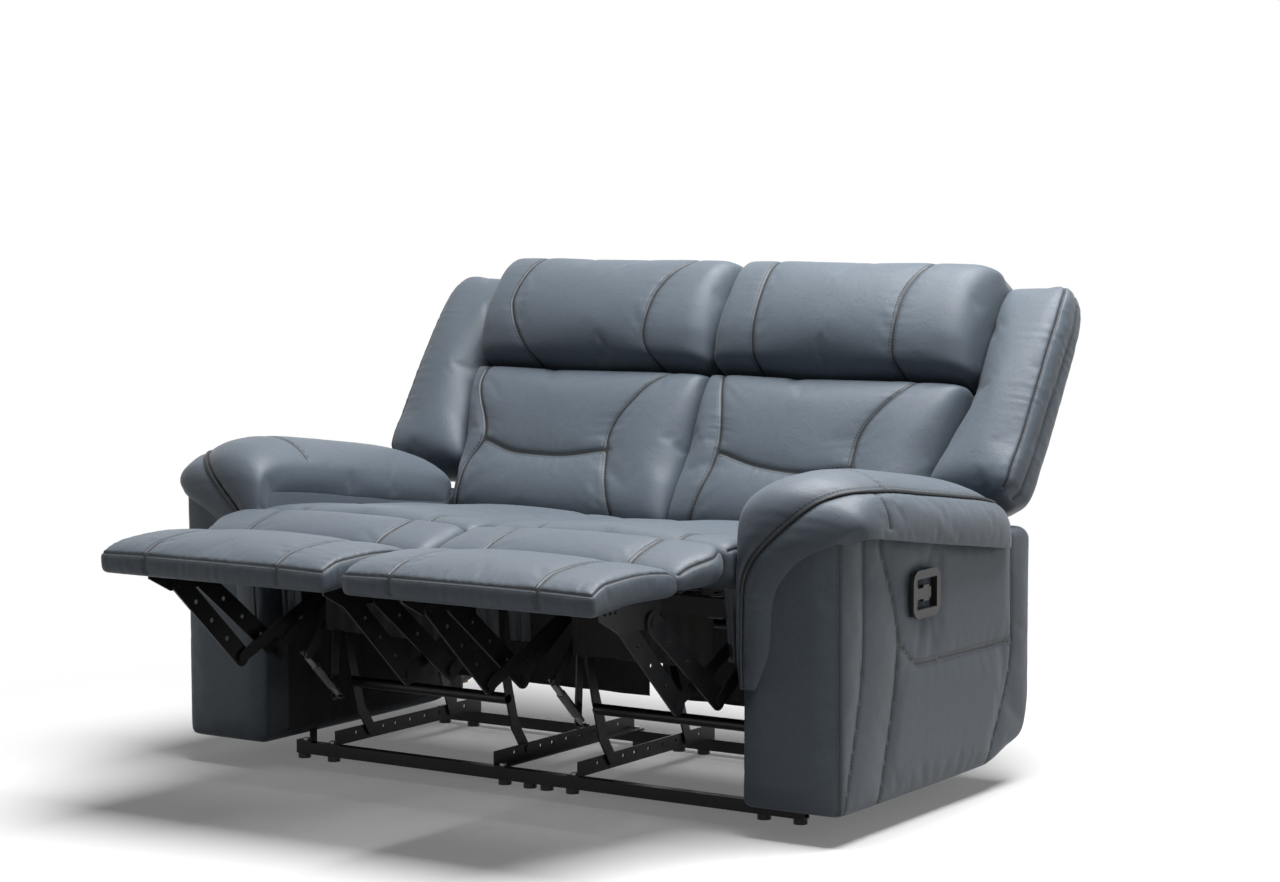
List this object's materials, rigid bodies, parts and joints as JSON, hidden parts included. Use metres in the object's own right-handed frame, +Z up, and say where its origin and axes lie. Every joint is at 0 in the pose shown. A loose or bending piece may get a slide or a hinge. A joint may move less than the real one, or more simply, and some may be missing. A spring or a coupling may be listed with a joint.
{
  "type": "reclining sofa",
  "caption": "Leather sofa whose padded backs recline and footrests fold out on steel link mechanisms, with padded arms and side release handles.",
  "frame": {"origin": "on the floor, under the middle of the sofa's overall box, with both footrests out", "axes": "+X the viewer's right, -Y the front where the footrests are, +Z up"},
  "size_m": [1.595, 1.5075, 1.019],
  "materials": {
    "leather": "matte, fine grain",
    "black_steel": "satin",
    "spring_steel": "oiled",
    "bolt_steel": "zinc plated",
    "frame_wood": "unfinished plywood",
    "lining": "woven",
    "dark_plastic": "satin"
  },
  "bodies": {
    "base": {"front_strips": "black_steel", "rear_strips": "black_steel", "side_rails": "black_steel", "glide_feet": "dark_plastic", "frame_bolts": "bolt_steel", "arm_brackets": "black_steel", "left_arm_frame": "frame_wood", "left_arm_cover": "leather", "left_arm_pad": "leather", "left_handle_bezel": "dark_plastic", "right_arm_frame": "frame_wood", "right_arm_cover": "leather", "right_arm_pad": "leather", "right_handle_bezel": "dark_plastic"},
    "left_handle": {"left_handle_paddle": "dark_plastic"},
    "left_front_leg": {"left_front_legs": "black_steel"},
    "left_seat": {"left_side_plates": "black_steel", "left_seat_frame": "frame_wood", "left_seat_springs": "spring_steel", "left_seat_cushion": "leather", "left_valance": "lining", "left_lift_spring": "spring_steel"},
    "left_rear_leg": {"left_rear_legs": "black_steel"},
    "left_back": {"left_back_frame": "frame_wood", "left_back_brackets": "black_steel", "left_back_cushion": "leather", "left_headrest": "leather", "left_wing": "leather", "left_back_cover": "leather"},
    "left_footrest": {"left_footrest_board": "frame_wood", "left_footrest_brackets": "black_steel", "left_footrest_pad": "leather", "left_knee_pad": "leather"},
    "left_drive": {"left_drive_links": "black_steel"},
    "left_guide": {"left_guide_links": "black_steel"},
    "left_front_link": {"left_front_links": "black_steel"},
    "left_upper_link": {"left_upper_links": "black_steel"},
    "right_handle": {"right_handle_paddle": "dark_plastic"},
    "right_front_leg": {"right_front_legs": "black_steel"},
    "right_seat": {"right_side_plates": "black_steel", "right_seat_frame": "frame_wood", "right_seat_springs": "spring_steel", "right_seat_cushion": "leather", "right_valance": "lining", "right_lift_spring": "spring_steel"},
    "right_rear_leg": {"right_rear_legs": "black_steel"},
    "right_back": {"right_back_frame": "frame_wood", "right_back_brackets": "black_steel", "right_back_cushion": "leather", "right_headrest": "leather", "right_wing": "leather", "right_back_cover": "leather"},
    "right_footrest": {"right_footrest_board": "frame_wood", "right_footrest_brackets": "black_steel", "right_footrest_pad": "leather", "right_knee_pad": "leather"},
    "right_drive": {"right_drive_links": "black_steel"},
    "right_guide": {"right_guide_links": "black_steel"},
    "right_front_link": {"right_front_links": "black_steel"},
    "right_upper_link": {"right_upper_links": "black_steel"}
  },
  "joints": [
    {"name": "left_handle_pull", "type": "hinge", "parent": "base", "child": "left_handle", "pos_m": [-0.761, -0.0205, 0.423], "axis": [0, 0, 1], "range_deg": [0, 35], "stiffness_Nm_per_rad": 0.25, "springref_deg": -11.46},
    {"name": "left_front_leg_swing", "type": "hinge", "parent": "base", "child": "left_front_leg", "pos_m": [-0.2975, -0.025, 0.052], "axis": [1, 0, 0], "range_deg": [-9, 10]},
    {"name": "left_seat_swing", "type": "hinge", "parent": "left_front_leg", "child": "left_seat", "pos_m": [-0.2975, -0.105, 0.268], "axis": [1, 0, 0], "range_deg": [-10, 9]},
    {"name": "left_back_recline", "type": "hinge", "parent": "left_seat", "child": "left_back", "pos_m": [-0.2975, 0.4079, 0.4248], "axis": [-1, 0, 0], "range_deg": [-14, 16]},
    {"name": "left_footrest_fold", "type": "hinge", "parent": "left_seat", "child": "left_footrest", "pos_m": [-0.2975, -0.325, 0.525], "axis": [1, 0, 0], "range_deg": [0, 90]},
    {"name": "left_rear_leg_swing", "type": "hinge", "parent": "left_seat", "child": "left_rear_leg", "pos_m": [-0.2975, 0.17, 0.268], "axis": [1, 0, 0], "range_deg": [-9, 10]},
    {"name": "left_drive_turn", "type": "hinge", "parent": "left_seat", "child": "left_drive", "pos_m": [-0.2975, -0.151, 0.363], "axis": [1, 0, 0], "range_deg": [0, 90], "deforming": ["left_lift_spring"]},
    {"name": "left_guide_turn", "type": "hinge", "parent": "left_seat", "child": "left_guide", "pos_m": [-0.2975, -0.11, 0.36], "axis": [1, 0, 0], "range_deg": [0, 90]},
    {"name": "left_front_link_turn", "type": "hinge", "parent": "left_footrest", "child": "left_front_link", "pos_m": [-0.2975, -0.589, 0.416], "axis": [1, 0, 0], "range_deg": [-90, 0]},
    {"name": "left_upper_link_turn", "type": "hinge", "parent": "left_footrest", "child": "left_upper_link", "pos_m": [-0.2975, -0.51, 0.412], "axis": [1, 0, 0], "range_deg": [-90, 0]},
    {"name": "right_handle_pull", "type": "hinge", "parent": "base", "child": "right_handle", "pos_m": [0.761, -0.0205, 0.423], "axis": [0, 0, -1], "range_deg": [0, 35], "stiffness_Nm_per_rad": 0.25, "springref_deg": -11.46},
    {"name": "right_front_leg_swing", "type": "hinge", "parent": "base", "child": "right_front_leg", "pos_m": [0.2975, -0.025, 0.052], "axis": [1, 0, 0], "range_deg": [-9, 10]},
    {"name": "right_seat_swing", "type": "hinge", "parent": "right_front_leg", "child": "right_seat", "pos_m": [0.2975, -0.105, 0.268], "axis": [1, 0, 0], "range_deg": [-10, 9]},
    {"name": "right_back_recline", "type": "hinge", "parent": "right_seat", "child": "right_back", "pos_m": [0.2975, 0.4079, 0.4248], "axis": [-1, 0, 0], "range_deg": [-14, 16]},
    {"name": "right_footrest_fold", "type": "hinge", "parent": "right_seat", "child": "right_footrest", "pos_m": [0.2975, -0.325, 0.525], "axis": [1, 0, 0], "range_deg": [0, 90]},
    {"name": "right_rear_leg_swing", "type": "hinge", "parent": "right_seat", "child": "right_rear_leg", "pos_m": [0.2975, 0.17, 0.268], "axis": [1, 0, 0], "range_deg": [-9, 10]},
    {"name": "right_drive_turn", "type": "hinge", "parent": "right_seat", "child": "right_drive", "pos_m": [0.2975, -0.151, 0.363], "axis": [1, 0, 0], "range_deg": [0, 90], "deforming": ["right_lift_spring"]},
    {"name": "right_guide_turn", "type": "hinge", "parent": "right_seat", "child": "right_guide", "pos_m": [0.2975, -0.11, 0.36], "axis": [1, 0, 0], "range_deg": [0, 90]},
    {"name": "right_front_link_turn", "type": "hinge", "parent": "right_footrest", "child": "right_front_link", "pos_m": [0.2975, -0.589, 0.416], "axis": [1, 0, 0], "range_deg": [-90, 0]},
    {"name": "right_upper_link_turn", "type": "hinge", "parent": "right_footrest", "child": "right_upper_link", "pos_m": [0.2975, -0.51, 0.412], "axis": [1, 0, 0], "range_deg": [-90, 0]}
  ],
  "couplings": [
    {"joint": "left_front_leg_swing", "follows": "left_back_recline", "ratio": 0.6},
    {"joint": "left_seat_swing", "follows": "left_back_recline", "ratio": -0.6},
    {"joint": "left_rear_leg_swing", "follows": "left_back_recline", "ratio": 0.6},
    {"joint": "left_drive_turn", "follows": "left_footrest_fold", "ratio": 1},
    {"joint": "left_guide_turn", "follows": "left_footrest_fold", "ratio": 1},
    {"joint": "left_front_link_turn", "follows": "left_footrest_fold", "ratio": -1},
    {"joint": "left_upper_link_turn", "follows": "left_footrest_fold", "ratio": -1},
    {"joint": "right_front_leg_swing", "follows": "right_back_recline", "ratio": 0.6},
    {"joint": "right_seat_swing", "follows": "right_back_recline", "ratio": -0.6},
    {"joint": "right_rear_leg_swing", "follows": "right_back_recline", "ratio": 0.6},
    {"joint": "right_drive_turn", "follows": "right_footrest_fold", "ratio": 1},
    {"joint": "right_guide_turn", "follows": "right_footrest_fold", "ratio": 1},
    {"joint": "right_front_link_turn", "follows": "right_footrest_fold", "ratio": -1},
    {"joint": "right_upper_link_turn", "follows": "right_footrest_fold", "ratio": -1}
  ]
}
